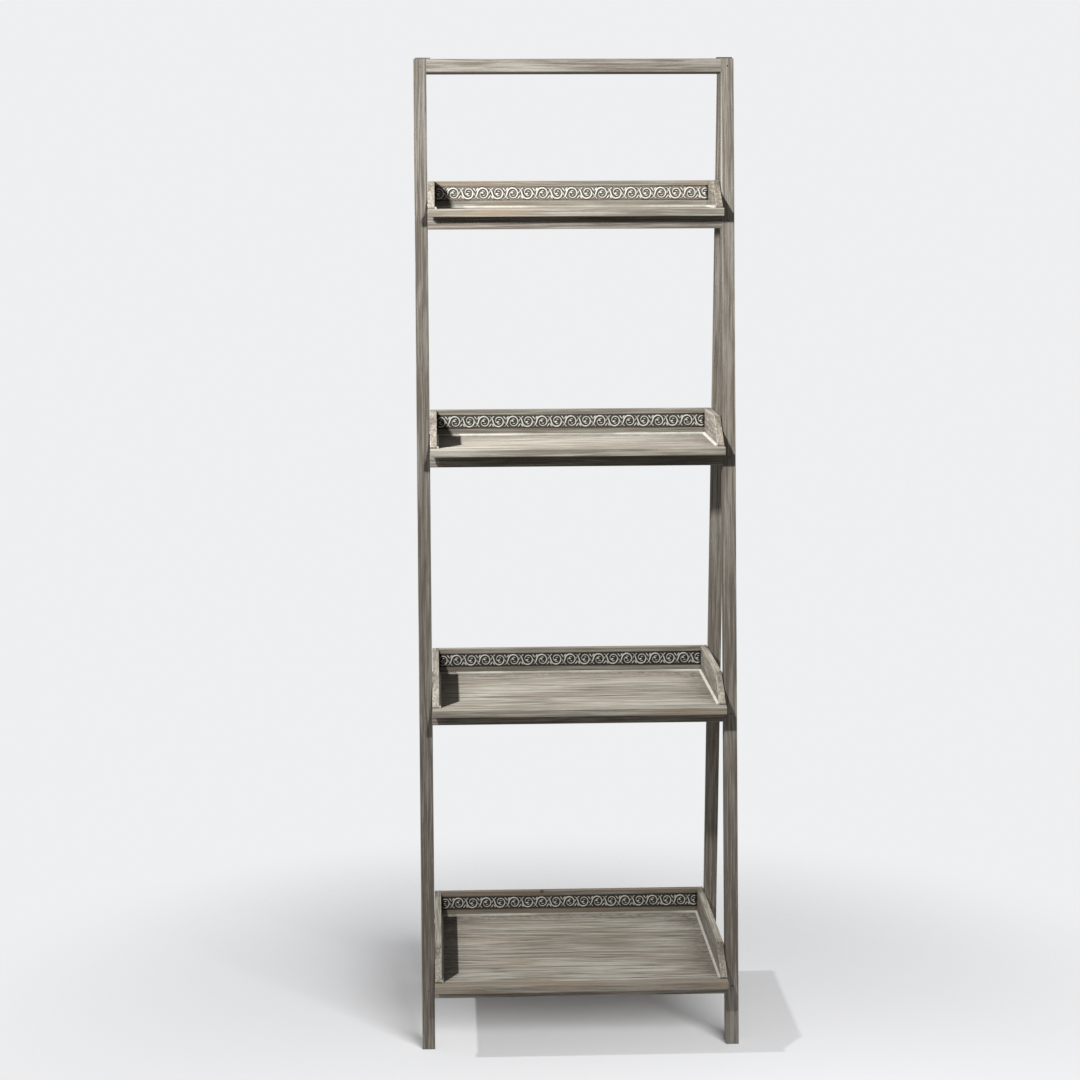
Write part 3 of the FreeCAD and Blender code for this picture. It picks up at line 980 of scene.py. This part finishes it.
class STAND_OT_fit_hinge_screws(Operator):
    """Screw the hinge leaves down"""

    bl_idname = "stand.fit_hinge_screws"
    bl_label = "Fit hinge screws"

    HEAD_SHARE = 0.22
    SUNK_SHARE = 0.3
    ROUNDING_SHARE = 0.3
    CUTTER_LENGTH_SHARE = 1.2
    CUTTER_HEIGHT_SHARE = 0.7

    # Degrees that set the slots apart from each other
    SLOT_START = 37
    SLOT_STEP = 61
    SLOT_SIDE = 23

    def head(self, diameter, height, slot_width):
        """Screw head facing +Z, its rim rounded and a slot cut across it."""
        bpy.ops.mesh.primitive_cylinder_add(
            vertices=32, radius=diameter / 2, depth=height, location=(0, 0, 0))
        head = bpy.context.object
        rounded(head, height * self.ROUNDING_SHARE, 3)
        bpy.ops.mesh.primitive_cube_add(size=1, location=(0, 0, height / 2))
        cutter = bpy.context.object
        cutter.scale = (diameter * self.CUTTER_LENGTH_SHARE, slot_width, height * self.CUTTER_HEIGHT_SHARE)
        settled(cutter)
        modified(head, "BOOLEAN", object=cutter, operation="DIFFERENCE", solver="EXACT")
        bpy.data.objects.remove(cutter)
        smooth(head, 35)
        return head

    def slot_turn(self, sign, step):
        """Each slot stops at an angle of its own, as driven by hand."""
        degrees = self.SLOT_START + self.SLOT_STEP * step + self.SLOT_SIDE * sign
        return Matrix.Rotation(math.radians(degrees), 4, "Z")

    def execute(self, context):
        settings = context.scene.stand_fastener
        deselect()
        height = settings.screw_diameter * self.HEAD_SHARE
        model = self.head(settings.screw_diameter, height, settings.slot_width)
        low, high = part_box("right_hinge_pin")
        middle = (low.x + high.x) / 2
        rise = settings.leaf_rise - height * self.SUNK_SHARE
        for side, prefix in BOTH_FRAMES:
            screws = []
            for sign in LEFT_AND_RIGHT:
                for step in (-0.5, 0.5):
                    x = sign * middle + step * settings.screw_spacing
                    spot = Matrix.Translation((x, side * settings.screw_reach, rise))
                    matrix = frame_turn(side) @ spot @ self.slot_turn(sign, step)
                    screws.append(placed(copied(model, "screw"), matrix))
            piece = joined("hinge_{}_screws".format(prefix), screws)
            fitted(piece, prefix + "_frame", bpy.data.materials["hinge_metal"])
        bpy.data.objects.remove(model)
        return {"FINISHED"}


class STAND_OT_fit_washers(Operator):
    """Slip the washers on the trays' pivot pins"""

    bl_idname = "stand.fit_washers"
    bl_label = "Fit washers"

    THICKNESS_SHARE = 0.8
    RIM_SHARE = 0.27
    ROUNDING_SHARE = 0.2

    def washer(self, diameter, thickness):
        """Flat ring across X at the origin."""
        bpy.ops.mesh.primitive_cylinder_add(
            vertices=40, radius=diameter / 2, depth=thickness, end_fill_type="NOTHING",
            rotation=(0, math.pi / 2, 0))
        washer = settled(bpy.context.object)
        modified(washer, "SOLIDIFY", thickness=diameter * self.RIM_SHARE, offset=-1, use_even_offset=True)
        rounded(washer, thickness * self.ROUNDING_SHARE, 2)
        smooth(washer, 40)
        return washer

    def execute(self, context):
        diameter = context.scene.stand_fastener.washer_diameter
        deselect()
        leg_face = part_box("rear_right_leg")[0].x
        side_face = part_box("tray_1_right_side")[1].x
        thickness = (leg_face - side_face) * self.THICKNESS_SHARE
        across = side_face + thickness / 2
        model = self.washer(diameter, thickness)
        for number in TRAY_NUMBERS:
            low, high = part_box("tray_{}_pivots".format(number))
            washers = []
            for sign in LEFT_AND_RIGHT:
                spot = Matrix.Translation((sign * across, (low.y + high.y) / 2, (low.z + high.z) / 2))
                washers.append(placed(copied(model, "washer"), spot))
            piece = joined("tray_{}_washers".format(number), washers)
            fitted(piece, "tray_{}".format(number), bpy.data.materials["pivot_metal"])
        bpy.data.objects.remove(model)
        return {"FINISHED"}


class STAND_OT_set_stage(Operator):
    """Lay the floor, hang the lamps and place the camera"""

    bl_idname = "stand.set_stage"
    bl_label = "Set stage"

    KEY_PLACE = Vector((-1.75, 0.0, 2.55))
    FILL_PLACE = Vector((-0.6, -1.25, 1.5))
    UPRIGHT_FILL_PLACE = Vector((0.1, -1.3, 1.68))
    FILL_AIM = Vector((0.0, 0.0, 1.7))
    FLOOR_FILL_PLACE = Vector((0.8, -2.4, 1.3))
    SIDE_FILL_PLACE = Vector((2.2, 0.35, 1.3))
    SMALL_LAMP = 0.1
    WIDE_LAMP = 0.8
    BROAD_LAMP = 1.5
    CAMERA_PLACE = Vector((-0.1972, -3.5749, 1.2291))
    CAMERA_YAW = math.radians(2.368)
    CAMERA_PITCH = math.radians(7.581)
    CAMERA_ROLL = math.radians(-0.214)
    FLOOR_SIZE = 16
    FLOOR_PATCHES = (9, 9, 9)
    FLOOR_SHADE = 0.8
    FLOOR_CLOUD_SHARE = 0.06
    FADE_START = 0.3
    FADE_END = 1.05
    SOFT_LIGHT = (1.0, 1.0, 1.0)

    def lamp(self, name, place, power, size, lights, shades=None, aim=None):
        """Hang a lamp; lights are the objects that it lights, shades those that cast its shadows."""
        bpy.ops.object.light_add(type="AREA", location=place)
        lamp = bpy.context.object
        lamp.name = name
        lamp.data.energy = power
        lamp.data.size = size
        aim = aim or (CAD_BOX[0] + CAD_BOX[1]) / 2
        lamp.rotation_euler = (aim - place).to_track_quat("-Z", "Y").to_euler()
        lamp.light_linking.receiver_collection = self.group(name + "_lights", lights)
        if shades:
            lamp.light_linking.blocker_collection = self.group(name + "_shades", shades)

    def group(self, name, objects):
        """Collection for a lamp's links."""
        group = bpy.data.collections.new(name)
        for obj in objects:
            group.objects.link(obj)
        return group

    def floor(self, settings):
        """Pale floor that fades into the backdrop away from the stand."""
        bpy.ops.mesh.primitive_plane_add(size=self.FLOOR_SIZE)
        floor = bpy.context.object
        floor.name = "floor"
        shader = new_material("floor")
        place = shader.place()
        cloud = shader.noise(place, self.FLOOR_PATCHES, 3)
        shade = toned(settings.floor_tone, self.FLOOR_SHADE)
        colour = shader.mix(cloud * self.FLOOR_CLOUD_SHARE, settings.floor_tone, shade)
        away = shader.node("ShaderNodeVectorMath", {"operation": "LENGTH"}, {0: place}, 1)
        far = shader.between(away, self.FADE_START, self.FADE_END)
        near = shader.node("ShaderNodeBsdfPrincipled", {}, {"Base Color": colour, "Roughness": 0.8})
        gone = shader.node("ShaderNodeBsdfTransparent", {}, {})
        faded = shader.node("ShaderNodeMixShader", {}, {0: far, 1: near, 2: gone})
        shader.node("ShaderNodeOutputMaterial", {}, {"Surface": faded})
        floor.data.materials.append(shader.owner)
        return floor

    def world(self, settings):
        """Backdrop as the camera sees it, with a softer light from all round."""
        shader = Shader(bpy.data.worlds.new("studio"))
        seen = shader.node("ShaderNodeBackground", {}, {"Color": opaque(settings.backdrop)})
        soft = shader.node("ShaderNodeBackground", {}, {
            "Color": opaque(self.SOFT_LIGHT), "Strength": settings.ambient})
        ray = shader.node("ShaderNodeLightPath", {}, {}, "Is Camera Ray")
        both = shader.node("ShaderNodeMixShader", {}, {0: ray, 1: soft, 2: seen})
        shader.node("ShaderNodeOutputWorld", {}, {"Surface": both})
        bpy.context.scene.world = shader.owner

    def key_lamps(self, settings, pieces, frames, floor):
        """One lamp high on the left, shared out so that each tray and the floor gets its own power."""
        for number, power, board_power in zip(TRAY_NUMBERS, settings.tray_power, settings.board_power):
            tray = [obj for obj in pieces if obj.name.startswith("tray_{}_".format(number))]
            board = [frame["nodes"]["tray_{}_floor".format(number)]]
            rest = [obj for obj in tray if obj not in board]
            name = "key_{}".format(number)
            self.lamp(name, self.KEY_PLACE, power, self.SMALL_LAMP, rest, tray)
            self.lamp(name + "_board", self.KEY_PLACE, board_power, self.SMALL_LAMP, board, tray)
        self.lamp("key_frames", self.KEY_PLACE, settings.key_power, self.SMALL_LAMP, frames, pieces)
        lowest = [obj for obj in pieces if obj.name.startswith("tray_4_")]
        self.lamp("key_floor", self.KEY_PLACE, settings.floor_power, self.SMALL_LAMP, [floor], lowest)

    def fill_lamps(self, settings, pieces, frames, floor):
        """Softer lamps in front, on the right and on the floor."""
        self.lamp("fill_floor", self.FLOOR_FILL_PLACE, settings.floor_fill, self.BROAD_LAMP, [floor])
        uprights = [frame["nodes"]["front_left_stile"], frame["nodes"]["rear_left_leg"]]
        others = [obj for obj in pieces if obj not in uprights and not obj.name.endswith("_floor")]
        trays = [obj for obj in pieces if obj not in frames]
        self.lamp("fill", self.FILL_PLACE, settings.fill_power, self.SMALL_LAMP, others, trays,
                  self.FILL_AIM)
        self.lamp("fill_uprights", self.UPRIGHT_FILL_PLACE, settings.upright_power, self.SMALL_LAMP,
                  uprights, aim=self.FILL_AIM)
        sides = [obj for obj in pieces if obj.name.endswith(("_stile", "_leg", "_side"))]
        self.lamp("fill_side", self.SIDE_FILL_PLACE, settings.side_power, self.WIDE_LAMP, sides)

    def camera(self, settings):
        """Camera at the height of the top tray, a little to the left."""
        bpy.ops.object.camera_add(location=self.CAMERA_PLACE)
        camera = bpy.context.object
        turn = (Matrix.Rotation(-self.CAMERA_YAW, 3, "Z")
                @ Matrix.Rotation(math.pi / 2 - self.CAMERA_PITCH, 3, "X")
                @ Matrix.Rotation(self.CAMERA_ROLL, 3, "Z"))
        camera.rotation_euler = turn.to_euler()
        camera.data.lens = settings.lens
        camera.data.shift_y = settings.lens_shift
        return camera

    def execute(self, context):
        settings = context.scene.stand_stage
        deselect()
        floor = self.floor(settings)
        self.world(settings)
        pieces = [obj for obj in context.scene.objects if obj.type == "MESH" and obj != floor]
        frames = [obj for obj in pieces if not obj.name.startswith("tray_")]
        self.key_lamps(settings, pieces, frames, floor)
        self.fill_lamps(settings, pieces, frames, floor)
        context.scene.camera = self.camera(settings)
        context.scene.view_settings.view_transform = "Standard"
        return {"FINISHED"}


class STAND_PT_workshop(Panel):
    """The steps that make the stand"""

    bl_label = "Stand"
    bl_space_type = "VIEW_3D"
    bl_region_type = "UI"
    bl_category = "Stand"

    def draw(self, context):
        for step in STEPS:
            self.layout.operator(step.bl_idname)
        for group_name, group in GROUPS:
            for name in group.__annotations__:
                self.layout.prop(getattr(context.scene, group_name), name)


STEPS = (STAND_OT_finish_frames, STAND_OT_finish_trays, STAND_OT_finish_metal, STAND_OT_carve_friezes,
         STAND_OT_drive_nails, STAND_OT_fit_hinge_screws, STAND_OT_fit_washers, STAND_OT_set_stage)
GROUPS = (("stand_frieze", FriezeSettings), ("stand_fastener", FastenerSettings),
          ("stand_frame", FrameFinish), ("stand_tray", TrayFinish), ("stand_metal", MetalFinish),
          ("stand_stage", StageSettings))


def register():
    """Make the settings, the steps and the panel known to Blender."""
    for name, group in GROUPS:
        bpy.utils.register_class(group)
        setattr(bpy.types.Scene, name, PointerProperty(type=group))
    for step in STEPS:
        bpy.utils.register_class(step)
    bpy.utils.register_class(STAND_PT_workshop)


def unregister():
    """Take the panel, the steps and the settings out again."""
    bpy.utils.unregister_class(STAND_PT_workshop)
    for step in reversed(STEPS):
        bpy.utils.unregister_class(step)
    for name, group in reversed(GROUPS):
        delattr(bpy.types.Scene, name)
        bpy.utils.unregister_class(group)


def main():
    """Make the whole stand."""
    register()
    bpy.ops.stand.finish_frames()
    bpy.ops.stand.finish_trays()
    bpy.ops.stand.finish_metal()
    bpy.ops.stand.carve_friezes()
    bpy.ops.stand.drive_nails()
    bpy.ops.stand.fit_hinge_screws()
    bpy.ops.stand.fit_washers()
    bpy.ops.stand.set_stage()


if __name__ == "__main__":
    main()
